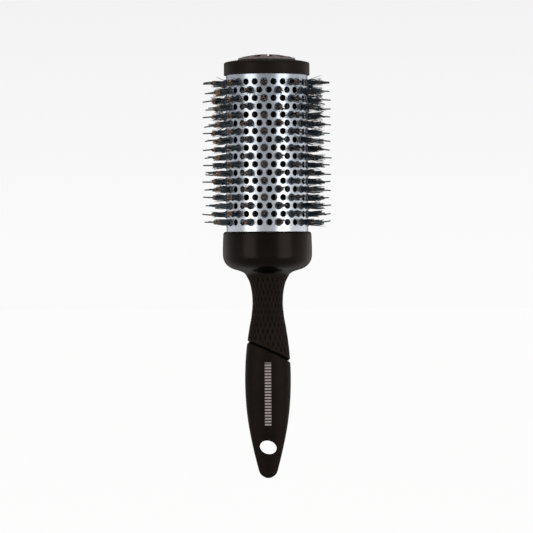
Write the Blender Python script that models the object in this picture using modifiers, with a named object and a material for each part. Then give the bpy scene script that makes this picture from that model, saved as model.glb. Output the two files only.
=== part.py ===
"""A round barrel brush for blow-drying hair.

A perforated aluminium barrel is clamped between a cup-shaped collar and a vented end cap. Eighteen
bristle strips lie in the grooves of a tube inside it and push their tufts out through its holes.
The handle is a hard core with two soft grips on it, and its spine runs up through the barrel.

The brush stands on the tip of its handle, which is at the origin, with its axis along +Z. The front
of the handle looks along -Y. Every length is in metres.
"""

import math

import bmesh
import bpy
from mathutils import Matrix, Vector

MM = 0.001
GAP = 0.3 * MM  # clearance between neighbouring pieces

# Barrel and its pattern of holes
BARREL_RADIUS = 24.1 * MM
BARREL_WALL = 0.8 * MM
BARREL_BOTTOM = 143.0 * MM
BARREL_TOP = 240.0 * MM
HOLES_IN_ROW = 27
HOLE_ROWS = 18
TOP_ROW_HEIGHT = 233.2 * MM
ROW_PITCH = 4.84 * MM
HOLE_REACH = 2.25 * MM  # from a hole's centre to its corners
FIRST_TUFT_ANGLE = math.radians(-3.8)  # of the top row's first tuft, from -Y towards +X

# Bristle strips: every third hole of a row holds a tuft, and neighbouring strips take turns in rows
STRIPS = 18
BRISTLE_REACH = 39.0 * MM
TUFT_RADIUS = 1.2 * MM
TUFT_TIP_RADIUS = 0.35 * MM
STRIP_WIDTH = 3.4 * MM
STRIP_INNER = 20.7 * MM
STRIP_OUTER = 22.5 * MM
STRIP_BOTTOM = 143.6 * MM
STRIP_TOP = 239.4 * MM

# Handle: half its width and half its depth, as (height, value) points in millimetres
HALF_WIDTH_POINTS = (
    (0, 4.35), (14, 8.0), (34, 11.9), (58, 13.52), (76, 12.65), (88, 11.0),
    (96, 9.6), (104, 8.98), (111, 9.55), (116, 10.75), (120, 12.75),
)
HALF_DEPTH_POINTS = (
    (0, 2.6), (14, 4.4), (34, 7.2), (58, 9.8), (76, 10.3), (88, 9.9),
    (96, 9.3), (104, 8.98), (111, 9.55), (116, 10.75), (120, 12.75),
)
HANDLE_TOP = 119.9 * MM
TIP_ROUNDING = 4.0 * MM
TIP_FLAT = 0.05 * MM  # how much of the rounded tip is cut off flat
GRIP_WALL = 1.5 * MM
POCKET_BOTTOM = 28.0 * MM
HANDLE_SEGMENTS = 20

# Slanted groove between the two grips: the plane z = height + slope_x * x + slope_y * y
GROOVE_HEIGHT = 75.2 * MM
GROOVE_SLOPE_X = -0.444
GROOVE_SLOPE_Y = -0.09
GROOVE_WIDTH = 1.3 * MM
GROOVE_DEPTH = 0.7 * MM
GROOVE_REACH = 8.0 * MM  # how far the slanted groove runs above and below its height, rounded up
SLAB_REACH = 40.0 * MM  # how far a slab along the groove reaches past the handle

# Hang hole through the tail of the handle
HANG_HOLE_HEIGHT = 18.2 * MM
HANG_HOLE_HALF_LENGTH = 5.05 * MM
HANG_HOLE_HALF_WIDTH = 4.05 * MM
HANG_HOLE_TILT = math.radians(20)  # its long axis drops towards +X
HANG_HOLE_REACH = 15.0 * MM  # half the cutter's length, past both faces

# Spine inside the barrel, and what is threaded on it
SPINE_RADIUS = 6.0 * MM
SPINE_SEGMENTS = 16
SPINE_TOP = 236.0 * MM
SCREW_HOLE_RADIUS = 2.2 * MM
SCREW_HOLE_BOTTOM = 220.0 * MM
HUB_INNER = SPINE_RADIUS + 0.4 * MM
HUB_OUTER = 8.3 * MM
HUB_SEGMENTS = 14
TUBE_RADIUS = 22.7 * MM  # of the lands between the grooves of the strip tube
TUBE_GROOVE_RADIUS = STRIP_INNER - GAP
TUBE_INNER = 18.8 * MM
LIP_OUTER = 18.4 * MM  # of the lips that centre the strip tube
LIP_INNER = 17.0 * MM
LIP_LENGTH = 4.0 * MM
RIM_SEGMENTS = 18
SPOKES = 6
SPOKE_WIDTH = 2.0 * MM
SEAT_RADIUS = 24.0 * MM
SEAT_BORE = 24.5 * MM  # inside of the collar and the cap, around the barrel and the seats

# Collar
COLLAR_STEP = 138.0 * MM
SEAT_THICKNESS = 4.4 * MM
CUP_SEGMENTS = 30  # sides of the collar and the cap

# End cap
CAP_BOTTOM = 237.8 * MM
CAP_RADIUS = 25.3 * MM
CAP_OPENING = 15.9 * MM
CAP_SEAT_TOP = 242.5 * MM
DISC_RADIUS = 17.0 * MM
DISC_UNDERSIDE = 247.55 * MM
BRUSH_TOP = 250.0 * MM
FLAT_RADIUS = 6.5 * MM  # flat middle of the vent disc
VENT_SLOTS = 12
DISC_SEGMENTS = 2 * VENT_SLOTS  # so that every slot lies within one flat of the disc
SLOT_WIDTH = 2.0 * MM
SLOT_INNER = 7.2 * MM
SLOT_OUTER = 12.9 * MM
CHANNEL_FLOOR = 248.35 * MM  # of the open channel that each slot lies in, between two fins
COIN_SLOT_PLACE = 0.9 * MM  # beside the axis, towards +X
COIN_SLOT_WIDTH = 1.1 * MM
COIN_SLOT_FLOOR = 249.1 * MM

# Screw through the upper seat into the spine
SCREW_RADIUS = 1.9 * MM
SCREW_BOTTOM = 222.0 * MM
SCREW_HEAD_RADIUS = 4.0 * MM
SCREW_HEAD_BOTTOM = 242.9 * MM
SCREW_HEAD_TOP = 245.0 * MM
SCREW_SEGMENTS = 12
RECESS_LENGTH = 4.0 * MM
RECESS_WIDTH = 0.9 * MM
RECESS_DEPTH = 1.2 * MM
WASHER_BOTTOM = 241.8 * MM
WASHER_TOP = 242.6 * MM
WASHER_RADIUS = 5.5 * MM
WASHER_SEGMENTS = 16

SHARP_ANGLE = math.radians(40)  # an edge that turns more than this is shaded sharp


# Collections, materials and modifiers

def clear_scene():
    for obj in list(bpy.data.objects):
        bpy.data.objects.remove(obj)


def new_collection(name):
    collection = bpy.data.collections.new(name)
    bpy.context.scene.collection.children.link(collection)
    return collection


def new_material(name, colour, roughness, metallic=0.0):
    material = bpy.data.materials.new(name)
    material.use_nodes = True
    shader = material.node_tree.nodes["Principled BSDF"]
    shader.inputs["Base Color"].default_value = (*colour, 1.0)
    shader.inputs["Roughness"].default_value = roughness
    shader.inputs["Metallic"].default_value = metallic
    material.diffuse_color = (*colour, 1.0)
    return material


def add_part(name, mesh, material):
    obj = bpy.data.objects.new(name, mesh)
    mesh.materials.clear()
    mesh.materials.append(material)
    PARTS.objects.link(obj)
    return obj


def add_cutter(name, mesh):
    obj = bpy.data.objects.new(name, mesh)
    obj.display_type = "WIRE"
    obj.hide_render = True
    CUTTERS.objects.link(obj)
    return obj


def add_boolean(obj, operation, other):
    modifier = obj.modifiers.new(f"{operation.lower()}_{other.name}", "BOOLEAN")
    modifier.operation = operation
    modifier.solver = "EXACT"
    modifier.object = other


def shade(mesh):
    mesh.shade_smooth()
    mesh.set_sharp_from_angle(angle=SHARP_ANGLE)


def mesh_of(bm, name):
    mesh = bpy.data.meshes.new(name)
    bm.to_mesh(mesh)
    bm.free()
    shade(mesh)
    return mesh


def evaluated_mesh(obj):
    """A copy of the object's mesh with its modifiers applied."""
    depsgraph = bpy.context.evaluated_depsgraph_get()
    return bpy.data.meshes.new_from_object(obj.evaluated_get(depsgraph))


# Outlines and basic shapes

def smooth_value(points, height):
    """The value at a height on the smooth curve through (height, value) points."""
    steps = [(b[1] - a[1]) / (b[0] - a[0]) for a, b in zip(points, points[1:])]

    def slope(i):
        if i in (0, len(steps)):
            return steps[max(0, i - 1)]
        before = points[i][0] - points[i - 1][0]
        after = points[i + 1][0] - points[i][0]
        return (steps[i - 1] * after + steps[i] * before) / (before + after)

    i = max(k for k in range(len(steps)) if k == 0 or points[k][0] <= height)
    (z0, v0), (z1, v1) = points[i], points[i + 1]
    span = z1 - z0
    t = (height - z0) / span
    start = v0 * (2 * t**3 - 3 * t**2 + 1) + span * slope(i) * (t**3 - 2 * t**2 + t)
    end = v1 * (3 * t**2 - 2 * t**3) + span * slope(i + 1) * (t**3 - t**2)
    return start + end


def bezier(p0, p1, p2, p3, steps):
    """The points of a Bezier arc in millimetres, without its first one."""
    points = []
    for i in range(1, steps + 1):
        t = i / steps
        s = 1 - t
        weights = (s**3, 3 * s * s * t, 3 * s * t * t, t**3)
        controls = (p0, p1, p2, p3)
        points.append(tuple(sum(w * p[k] for w, p in zip(weights, controls)) for k in (0, 1)))
    return points


def in_metres(points):
    return [(x * MM, z * MM) for x, z in points]


def turned(name, profile, segments, closed=True):
    """A turned mesh. The profile's (radius, height) points run down its outer side."""
    bm = bmesh.new()
    verts = [bm.verts.new((radius, 0, height)) for radius, height in profile]
    ends = verts[1:] + verts[:1] if closed else verts[1:]
    for a, b in zip(verts, ends):
        bm.edges.new((a, b))
    guide = add_cutter(name + "_profile", mesh_of(bm, name + "_profile"))
    screw = guide.modifiers.new("turn", "SCREW")
    screw.steps = segments
    screw.render_steps = segments
    screw.use_merge_vertices = True
    screw.merge_threshold = 0.00001
    mesh = evaluated_mesh(guide)
    bpy.data.objects.remove(guide)
    mesh.name = name
    shade(mesh)
    return mesh


def add_box(bm, size, matrix):
    bmesh.ops.create_cube(bm, size=1, matrix=matrix @ Matrix.Diagonal((*size, 1)))


def add_rod(bm, radius, bottom, top, segments, top_radius=None):
    """An upright rod, or a cone if top_radius differs."""
    bmesh.ops.create_cone(
        bm,
        cap_ends=True,
        segments=segments,
        radius1=radius,
        radius2=radius if top_radius is None else top_radius,
        depth=top - bottom,
        matrix=Matrix.Translation((0, 0, (bottom + top) / 2)),
    )


def around_axis(angle):
    """Turns +X, which points outwards, to an angle that counts from -Y towards +X."""
    return Matrix.Rotation(angle - math.pi / 2, 4, "Z")


# Handle

def half_size(points, height):
    """Half the handle's width or depth, rounded off at its tip."""
    value = smooth_value(points, height / MM) * MM
    if height < TIP_ROUNDING:
        rise = max(height, TIP_FLAT) / TIP_ROUNDING
        value *= math.sqrt(1 - (1 - rise) ** 2)
    return value


def handle_loft(name, heights, inset):
    """The handle's elliptic sections between two heights, pulled in by the inset."""
    bm = bmesh.new()
    rings = []
    for height in heights:
        width = half_size(HALF_WIDTH_POINTS, height) - inset
        depth = half_size(HALF_DEPTH_POINTS, height) - inset
        ring = []
        for i in range(HANDLE_SEGMENTS):
            angle = math.tau * i / HANDLE_SEGMENTS
            ring.append(bm.verts.new((width * math.cos(angle), depth * math.sin(angle), height)))
        rings.append(ring)
    for lower, upper in zip(rings, rings[1:]):
        for i in range(HANDLE_SEGMENTS):
            j = (i + 1) % HANDLE_SEGMENTS
            bm.faces.new((lower[i], lower[j], upper[j], upper[i]))
    bm.faces.new(rings[0][::-1])
    bm.faces.new(rings[-1])
    return mesh_of(bm, name)


def even_heights(bottom, top, count):
    return [bottom + (top - bottom) * i / (count - 1) for i in range(count)]


def tip_heights():
    """Heights that follow the rounding of the handle's tip."""
    return [TIP_ROUNDING * (1 - math.cos(math.radians(angle))) for angle in (0, 28, 50, 70)]


def neck_heights(bottom, top):
    """Heights that get closer where the neck flares into the collar."""
    flare = 110 * MM
    return even_heights(bottom, flare, 7)[:-1] + even_heights(flare, top, 5)


def groove_slab(name, low, high):
    """A wide slab along the groove's plane, between two distances from it."""
    normal = Vector((-GROOVE_SLOPE_X, -GROOVE_SLOPE_Y, 1)).normalized()
    turn = normal.to_track_quat("Z", "Y").to_matrix().to_4x4()
    middle = Matrix.Translation(Vector((0, 0, GROOVE_HEIGHT)) + normal * (low + high) / 2)
    bm = bmesh.new()
    add_box(bm, (2 * SLAB_REACH, 2 * SLAB_REACH, high - low), middle @ turn)
    return add_cutter(name, mesh_of(bm, name))


def hang_hole_cutter():
    """An elliptic rod along Y, tilted in the plane of the handle."""
    bm = bmesh.new()
    add_rod(bm, 1, -HANG_HOLE_REACH, HANG_HOLE_REACH, 20)
    stretch = Matrix.Diagonal((HANG_HOLE_HALF_LENGTH, HANG_HOLE_HALF_WIDTH, 1, 1))
    lie = Matrix.Rotation(math.radians(90), 4, "X")
    tilt = Matrix.Rotation(HANG_HOLE_TILT, 4, "Y")
    place = Matrix.Translation((0, 0, HANG_HOLE_HEIGHT))
    bmesh.ops.transform(bm, matrix=place @ tilt @ lie @ stretch, verts=bm.verts)
    return add_cutter("hang_hole", mesh_of(bm, "hang_hole"))


def build_lower_grip(material):
    """The smooth grip: solid around the hang hole, and a sheath on the core above it."""
    heights = tip_heights() + even_heights(TIP_ROUNDING, GROOVE_HEIGHT + GROOVE_REACH, 12)
    grip = add_part("lower_grip", handle_loft("lower_grip", heights, 0), material)
    pocket_heights = even_heights(POCKET_BOTTOM, GROOVE_HEIGHT + 2 * GROOVE_REACH, 8)
    pocket = add_cutter("grip_pocket", handle_loft("grip_pocket", pocket_heights, GRIP_WALL))
    above = groove_slab("above_lower_grip", -GROOVE_WIDTH / 2, SLAB_REACH)
    for cutter in (above, pocket, hang_hole_cutter()):
        add_boolean(grip, "DIFFERENCE", cutter)


def build_grip_sleeve(material):
    """The textured sleeve from the groove to the collar, open at both ends."""
    outer_heights = neck_heights(GROOVE_HEIGHT - GROOVE_REACH, HANDLE_TOP)
    sleeve = add_part("grip_sleeve", handle_loft("grip_sleeve", outer_heights, 0), material)
    bore_heights = neck_heights(GROOVE_HEIGHT - 2 * GROOVE_REACH, HANDLE_TOP + GAP)
    bore = add_cutter("sleeve_bore", handle_loft("sleeve_bore", bore_heights, GRIP_WALL))
    below = groove_slab("below_sleeve", -SLAB_REACH, GROOVE_WIDTH / 2)
    for cutter in (below, bore):
        add_boolean(sleeve, "DIFFERENCE", cutter)


def build_handle_core(material):
    """The hard core: a blade in the grips, a rib that floors the groove, and the spine."""
    inset = GRIP_WALL + GAP
    heights = even_heights(POCKET_BOTTOM + GAP, 95 * MM, 8) + neck_heights(98 * MM, HANDLE_TOP)[1:]
    core = add_part("handle_core", handle_loft("handle_core", heights, inset), material)

    rib_heights = even_heights(GROOVE_HEIGHT - GROOVE_REACH, GROOVE_HEIGHT + GROOVE_REACH, 5)
    rib = add_cutter("groove_rib", handle_loft("groove_rib", rib_heights, GROOVE_DEPTH))
    half = GROOVE_WIDTH / 2 - GAP
    add_boolean(rib, "INTERSECT", groove_slab("rib_slab", -half, half))

    bm = bmesh.new()
    add_rod(bm, SPINE_RADIUS, HANDLE_TOP - 5 * MM, SPINE_TOP, SPINE_SEGMENTS)
    spine = add_cutter("spine", mesh_of(bm, "spine"))
    bm = bmesh.new()
    add_rod(bm, SCREW_HOLE_RADIUS, SCREW_HOLE_BOTTOM, SPINE_TOP + 5 * MM, 10)
    screw_hole = add_cutter("screw_hole", mesh_of(bm, "screw_hole"))

    add_boolean(core, "UNION", rib)
    add_boolean(core, "UNION", spine)
    add_boolean(core, "DIFFERENCE", screw_hole)


# Collar, end cap and vent disc

def build_collar(material):
    """The bell-shaped cup under the barrel, hollow, with a step for the lower seat."""
    outside = [(25.0, 145.5), (25.75, 145.0), (26.05, 143.6), (26.35, 136.0), (26.34, 132.3)]
    outside += bezier((26.34, 132.3), (26.34, 128.0), (24.2, 125.2), (20.3, 123.6), 4)
    outside += bezier((20.3, 123.6), (17.5, 122.6), (14.2, 122.2), (12.85, 120.2), 3)
    bore = HUB_INNER / MM
    step = COLLAR_STEP / MM
    inside = [(bore, 120.2), (bore, 123.4), (15.0, 124.6)]
    inside += bezier((15.0, 124.6), (21.0, 125.6), (23.6, 127.5), (23.6, 133.0), 3)
    inside += [(23.6, step), (SEAT_BORE / MM, step), (SEAT_BORE / MM, 145.5)]
    add_part("collar", turned("collar", in_metres(outside + inside), CUP_SEGMENTS), material)


def build_end_cap(material):
    """The drum that closes the barrel's far end, with a round opening for the vent disc."""
    radius = CAP_RADIUS / MM
    opening = CAP_OPENING / MM
    bottom = CAP_BOTTOM / MM
    bore = SEAT_BORE / MM
    outside = [(opening, 247.2), (17.4, 247.2), (21.3, 246.5), (24.4, 245.5), (25.05, 245.1)]
    outside += [(radius, 244.4), (radius, bottom + 0.3), (radius - 0.2, bottom)]
    inside = [(bore, bottom), (bore, CAP_SEAT_TOP / MM + 0.4), (22.5, 243.9), (opening, 245.2)]
    add_part("end_cap", turned("end_cap", in_metres(outside + inside), CUP_SEGMENTS), material)


def add_vent_cutter(bm, matrix):
    """A slot through the disc whose upper part runs on outwards as an open channel, along +X."""
    low = DISC_UNDERSIDE - 2 * MM
    high = BRUSH_TOP + 2 * MM
    outer = DISC_RADIUS + 1 * MM
    outline = [
        (SLOT_INNER, low), (SLOT_OUTER, low), (SLOT_OUTER, CHANNEL_FLOOR),
        (outer, CHANNEL_FLOOR), (outer, high), (SLOT_INNER, high),
    ]
    side = bm.faces.new([bm.verts.new((x, -SLOT_WIDTH / 2, z)) for x, z in outline])
    moved = bmesh.ops.extrude_face_region(bm, geom=[side])["geom"]
    far_verts = [item for item in moved if isinstance(item, bmesh.types.BMVert)]
    bmesh.ops.translate(bm, verts=far_verts, vec=(0, SLOT_WIDTH, 0))
    bmesh.ops.transform(bm, matrix=matrix, verts=list(side.verts) + far_verts)


def build_vent_disc(material):
    """The domed disc in the cap's opening: a hub, twelve fins with open slots between, a rim."""
    rim = DISC_RADIUS / MM
    skirt = CAP_OPENING / MM - 0.3
    under = DISC_UNDERSIDE / MM
    outside = [(0, 250.0), (FLAT_RADIUS / MM, 250.0), (10.3, 249.55), (14.4, 248.8), (14.7, 248.2)]
    outside += [(16.4, 248.15), (rim, under + 0.25), (rim - 0.1, under), (skirt, under)]
    inside = [(skirt, 245.4), (skirt - 1.4, 245.4), (skirt - 1.6, 247.0), (9.0, 248.2), (0, 248.5)]
    mesh = turned("cap_vent_disc", in_metres(outside + inside), DISC_SEGMENTS, closed=False)
    disc = add_part("cap_vent_disc", mesh, material)
    bm = bmesh.new()
    for i in range(VENT_SLOTS):
        add_vent_cutter(bm, around_axis(math.tau * (i + 0.25) / VENT_SLOTS))
    bmesh.ops.recalc_face_normals(bm, faces=bm.faces)
    add_boolean(disc, "DIFFERENCE", add_cutter("vent_slots", mesh_of(bm, "vent_slots")))
    bm = bmesh.new()
    size = (COIN_SLOT_WIDTH, 3 * DISC_RADIUS, 4 * MM)
    add_box(bm, size, Matrix.Translation((COIN_SLOT_PLACE, 0, COIN_SLOT_FLOOR + 2 * MM)))
    add_boolean(disc, "DIFFERENCE", add_cutter("coin_slot", mesh_of(bm, "coin_slot")))


# Barrel

def build_barrel(material):
    """The perforated tube: staggered rows of four-cornered holes in one thin wall.

    The wall is an open surface made of the flats between neighbouring holes, thickened inwards.
    Row 0 is the top one, and each row is turned by half a hole's pitch from the row above it.
    """
    bm = bmesh.new()
    pitch = math.tau / HOLES_IN_ROW

    def on_barrel(angle, height):
        turned_point = around_axis(angle) @ Vector((BARREL_RADIUS, 0, 0))
        return bm.verts.new((turned_point.x, turned_point.y, height))

    corners = {}
    for row in range(HOLE_ROWS):
        height = TOP_ROW_HEIGHT - row * ROW_PITCH
        for i in range(HOLES_IN_ROW):
            angle = FIRST_TUFT_ANGLE + (i + row / 2) * pitch
            reach = HOLE_REACH / BARREL_RADIUS
            corners[row, i] = {
                "left": on_barrel(angle - reach, height),
                "right": on_barrel(angle + reach, height),
                "up": on_barrel(angle, height + HOLE_REACH),
                "down": on_barrel(angle, height - HOLE_REACH),
            }

    def hole(row, i):
        return corners[row, i % HOLES_IN_ROW]

    for row in range(HOLE_ROWS - 1):
        for i in range(HOLES_IN_ROW):
            here, below, beside = hole(row, i), hole(row + 1, i), hole(row + 1, i - 1)
            bm.faces.new((here["right"], here["down"], below["left"], below["up"]))
            bm.faces.new((here["down"], here["left"], beside["up"], beside["right"]))
    for row in range(1, HOLE_ROWS - 1):
        for i in range(HOLES_IN_ROW):
            left, right = hole(row, i), hole(row, i + 1)
            above, below = hole(row - 1, i + 1), hole(row + 1, i)
            bm.faces.new((left["right"], below["up"], right["left"], above["down"]))
    add_plain_band(bm, on_barrel, hole, 0, BARREL_TOP, pitch)
    add_plain_band(bm, on_barrel, hole, HOLE_ROWS - 1, BARREL_BOTTOM, pitch)
    bmesh.ops.recalc_face_normals(bm, faces=bm.faces)

    barrel = add_part("barrel", mesh_of(bm, "barrel"), material)
    wall = barrel.modifiers.new("wall", "SOLIDIFY")
    wall.thickness = BARREL_WALL
    wall.offset = -1


def add_plain_band(bm, on_barrel, hole, row, edge, pitch):
    """Joins the first or last row of holes to the barrel's end."""
    towards_end = "up" if row == 0 else "down"
    next_row = 1 if row == 0 else row - 1
    shift = 0 if row == 0 else 1
    ends = []
    for i in range(HOLES_IN_ROW):
        ends.append(on_barrel(FIRST_TUFT_ANGLE + (i + row / 2) * pitch, edge))
    for i in range(HOLES_IN_ROW):
        left, right = hole(row, i), hole(row, i + 1)
        next_end = ends[(i + 1) % HOLES_IN_ROW]
        bm.faces.new((left["right"], right["left"], hole(next_row, i + shift)[towards_end]))
        bm.faces.new((left[towards_end], left["right"], right["left"], right[towards_end]))
        bm.faces.new((ends[i], left[towards_end], right[towards_end], next_end))


# Bristle strips

def strip_mesh(name, first_row):
    """A bar with one tapered tuft in every second row, pointing along +X."""
    bm = bmesh.new()
    bar = (STRIP_OUTER - STRIP_INNER, STRIP_WIDTH, STRIP_TOP - STRIP_BOTTOM)
    middle = ((STRIP_INNER + STRIP_OUTER) / 2, 0, (STRIP_TOP + STRIP_BOTTOM) / 2)
    add_box(bm, bar, Matrix.Translation(middle))
    strip = add_cutter(name, mesh_of(bm, name))

    bm = bmesh.new()
    root = STRIP_OUTER - 0.5 * MM
    for row in range(first_row, HOLE_ROWS, 2):
        tuft = bmesh.new()
        add_rod(tuft, TUFT_RADIUS, root, BRISTLE_REACH, 4, TUFT_TIP_RADIUS)
        lie = Matrix.Rotation(math.radians(90), 4, "Y")
        place = Matrix.Translation((0, 0, TOP_ROW_HEIGHT - row * ROW_PITCH))
        bmesh.ops.transform(tuft, matrix=place @ lie, verts=tuft.verts)
        copy = bpy.data.meshes.new("tuft")
        tuft.to_mesh(copy)
        tuft.free()
        bm.from_mesh(copy)
        bpy.data.meshes.remove(copy)
    tufts = add_cutter(name + "_tufts", mesh_of(bm, name + "_tufts"))
    add_boolean(strip, "UNION", tufts)
    mesh = evaluated_mesh(strip)
    bpy.data.objects.remove(strip)
    bpy.data.objects.remove(tufts)
    return mesh


def build_bristle_strips(material):
    """Eighteen strips around the barrel; even ones fill the even rows and odd ones the odd rows."""
    meshes = [strip_mesh(f"strip_{first_row}", first_row) for first_row in (0, 1)]
    for i in range(STRIPS):
        strip = add_part(f"bristle_strip_{i + 1:02d}", meshes[i % 2], material)
        strip.matrix_world = around_axis(FIRST_TUFT_ANGLE + math.tau * i / STRIPS)


# Strip tube, and the seats on the spine

def ring_profile(inner, outer, bottom, top):
    return [(outer, top), (outer, bottom), (inner, bottom), (inner, top)]


def tube_section():
    """The strip tube's outline: a land and a groove in turn, as (x, y) points."""
    half_groove = STRIP_WIDTH / 2 + GAP
    points = []
    for i in range(STRIPS):
        turn = around_axis(FIRST_TUFT_ANGLE + math.tau * i / STRIPS)
        for radius, side in (
            (TUBE_RADIUS, -half_groove), (TUBE_GROOVE_RADIUS, -half_groove),
            (TUBE_GROOVE_RADIUS, half_groove), (TUBE_RADIUS, half_groove),
        ):
            points.append((turn @ Vector((radius, side, 0))).to_2d())
    return points


def circle_points(radius, count):
    angles = [math.tau * i / count for i in range(count)]
    return [(radius * math.cos(angle), radius * math.sin(angle)) for angle in angles]


def build_strip_tube(material):
    """The grooved tube that holds the strips in place and backs them all the way."""
    curve = bpy.data.curves.new("strip_tube", "CURVE")
    curve.dimensions = "2D"
    curve.fill_mode = "BOTH"
    curve.extrude = (BARREL_TOP - BARREL_BOTTOM) / 2
    for outline in (tube_section(), circle_points(TUBE_INNER, 2 * STRIPS)):
        spline = curve.splines.new("POLY")
        spline.points.add(len(outline) - 1)
        for point, (x, y) in zip(spline.points, outline):
            point.co = (x, y, 0, 1)
        spline.use_cyclic_u = True
    guide = add_cutter("strip_tube_outline", curve)
    mesh = evaluated_mesh(guide)
    bpy.data.objects.remove(guide)
    bm = bmesh.new()
    bm.from_mesh(mesh)
    bpy.data.meshes.remove(mesh)
    bmesh.ops.remove_doubles(bm, verts=bm.verts, dist=0.01 * MM)
    tube = add_part("strip_tube", mesh_of(bm, "strip_tube"), material)
    tube.location.z = (BARREL_TOP + BARREL_BOTTOM) / 2


def spoked_wheel(name, rim, hub, spoke_bottom, spoke_top, material):
    """A rim and a hub, given by their profiles, joined by six spokes."""
    wheel = add_part(name, turned(name, rim, RIM_SEGMENTS), material)
    hub_part = add_cutter(name + "_hub", turned(name + "_hub", hub, HUB_SEGMENTS))
    reach = (HUB_OUTER - 0.6 * MM, LIP_INNER + 0.6 * MM)
    bm = bmesh.new()
    for i in range(SPOKES):
        turn = around_axis(math.tau * (i + 0.5) / SPOKES)
        middle = Matrix.Translation((sum(reach) / 2, 0, (spoke_bottom + spoke_top) / 2))
        size = (reach[1] - reach[0], SPOKE_WIDTH, spoke_top - spoke_bottom)
        add_box(bm, size, turn @ middle)
    add_boolean(wheel, "UNION", add_cutter(name + "_spokes", mesh_of(bm, name + "_spokes")))
    add_boolean(wheel, "UNION", hub_part)


def build_lower_seat(material):
    """The wheel on the collar's step that centres the barrel and the strip tube."""
    bottom = COLLAR_STEP + GAP
    flange = bottom + SEAT_THICKNESS
    lip = BARREL_BOTTOM + LIP_LENGTH
    rim = [
        (LIP_OUTER, lip), (LIP_OUTER, flange), (SEAT_RADIUS, flange),
        (SEAT_RADIUS, bottom), (LIP_INNER, bottom), (LIP_INNER, lip),
    ]
    hub = ring_profile(HUB_INNER, HUB_OUTER, bottom, flange)
    spoked_wheel("lower_seat_ring", rim, hub, bottom + 1 * MM, flange - 1 * MM, material)


def build_upper_seat(material):
    """The wheel on the barrel's end, screwed down on the spine."""
    bottom = BARREL_TOP + GAP
    lip = BARREL_TOP - LIP_LENGTH
    rim = [
        (LIP_INNER, CAP_SEAT_TOP), (SEAT_RADIUS, CAP_SEAT_TOP), (SEAT_RADIUS, bottom),
        (LIP_OUTER, bottom), (LIP_OUTER, lip), (LIP_INNER, lip),
    ]
    hub = ring_profile(SCREW_HOLE_RADIUS, HUB_OUTER, SPINE_TOP + GAP, WASHER_BOTTOM - GAP)
    spoked_wheel("upper_seat_ring", rim, hub, bottom - 1.5 * MM, bottom + 1 * MM, material)


def build_screw(material):
    """A pan-head screw with a cross recess; its thread is left out."""
    head = [
        (0, SCREW_HEAD_TOP), (SCREW_HEAD_RADIUS * 0.7, SCREW_HEAD_TOP),
        (SCREW_HEAD_RADIUS, SCREW_HEAD_BOTTOM + 0.9 * MM), (SCREW_HEAD_RADIUS, SCREW_HEAD_BOTTOM),
        (SCREW_RADIUS, SCREW_HEAD_BOTTOM), (SCREW_RADIUS, SCREW_BOTTOM + 2 * MM),
        (0.5 * MM, SCREW_BOTTOM), (0, SCREW_BOTTOM),
    ]
    screw = add_part("cap_screw", turned("cap_screw", head, SCREW_SEGMENTS, closed=False), material)
    arms = {"recess_x": (RECESS_LENGTH, RECESS_WIDTH), "recess_y": (RECESS_WIDTH, RECESS_LENGTH)}
    for name, arm in arms.items():
        bm = bmesh.new()
        add_box(bm, (*arm, 2 * RECESS_DEPTH), Matrix.Translation((0, 0, SCREW_HEAD_TOP)))
        add_boolean(screw, "DIFFERENCE", add_cutter(name, mesh_of(bm, name)))


def build_washer(material):
    profile = ring_profile(SCREW_HOLE_RADIUS, WASHER_RADIUS, WASHER_BOTTOM, WASHER_TOP)
    add_part("screw_washer", turned("screw_washer", profile, WASHER_SEGMENTS), material)


def build_brush():
    hard_black = new_material("hard_black_plastic", (0.020, 0.017, 0.015), 0.45)
    soft_black = new_material("soft_touch_rubber", (0.014, 0.012, 0.010), 0.62)
    cap_brown = new_material("vent_disc_plastic", (0.075, 0.065, 0.062), 0.5)
    nylon = new_material("bristle_nylon", (0.012, 0.016, 0.020), 0.4)
    inner = new_material("inner_plastic", (0.03, 0.032, 0.035), 0.5)
    aluminium = new_material("barrel_aluminium", (0.80, 0.82, 0.85), 0.25, metallic=1.0)
    steel = new_material("screw_steel", (0.55, 0.55, 0.56), 0.3, metallic=1.0)

    build_lower_grip(soft_black)
    build_grip_sleeve(soft_black)
    build_handle_core(hard_black)
    build_collar(soft_black)
    build_barrel(aluminium)
    build_bristle_strips(nylon)
    build_strip_tube(inner)
    build_lower_seat(inner)
    build_upper_seat(inner)
    build_end_cap(soft_black)
    build_vent_disc(cap_brown)
    build_screw(steel)
    build_washer(steel)


clear_scene()
PARTS = new_collection("round_barrel_brush")
CUTTERS = new_collection("cutters")
build_brush()
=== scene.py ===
"""The looks of a round barrel brush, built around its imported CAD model.

The brush stands on the tip of its handle, which is at the origin, with its axis along +Z. The front
of the handle looks along -Y, and angles round the axis count from -Y towards +X. Lengths are in
metres, and outlines in millimetres.
"""

import math

import bmesh
import bpy
import numpy as np
from mathutils import Matrix, Vector


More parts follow.
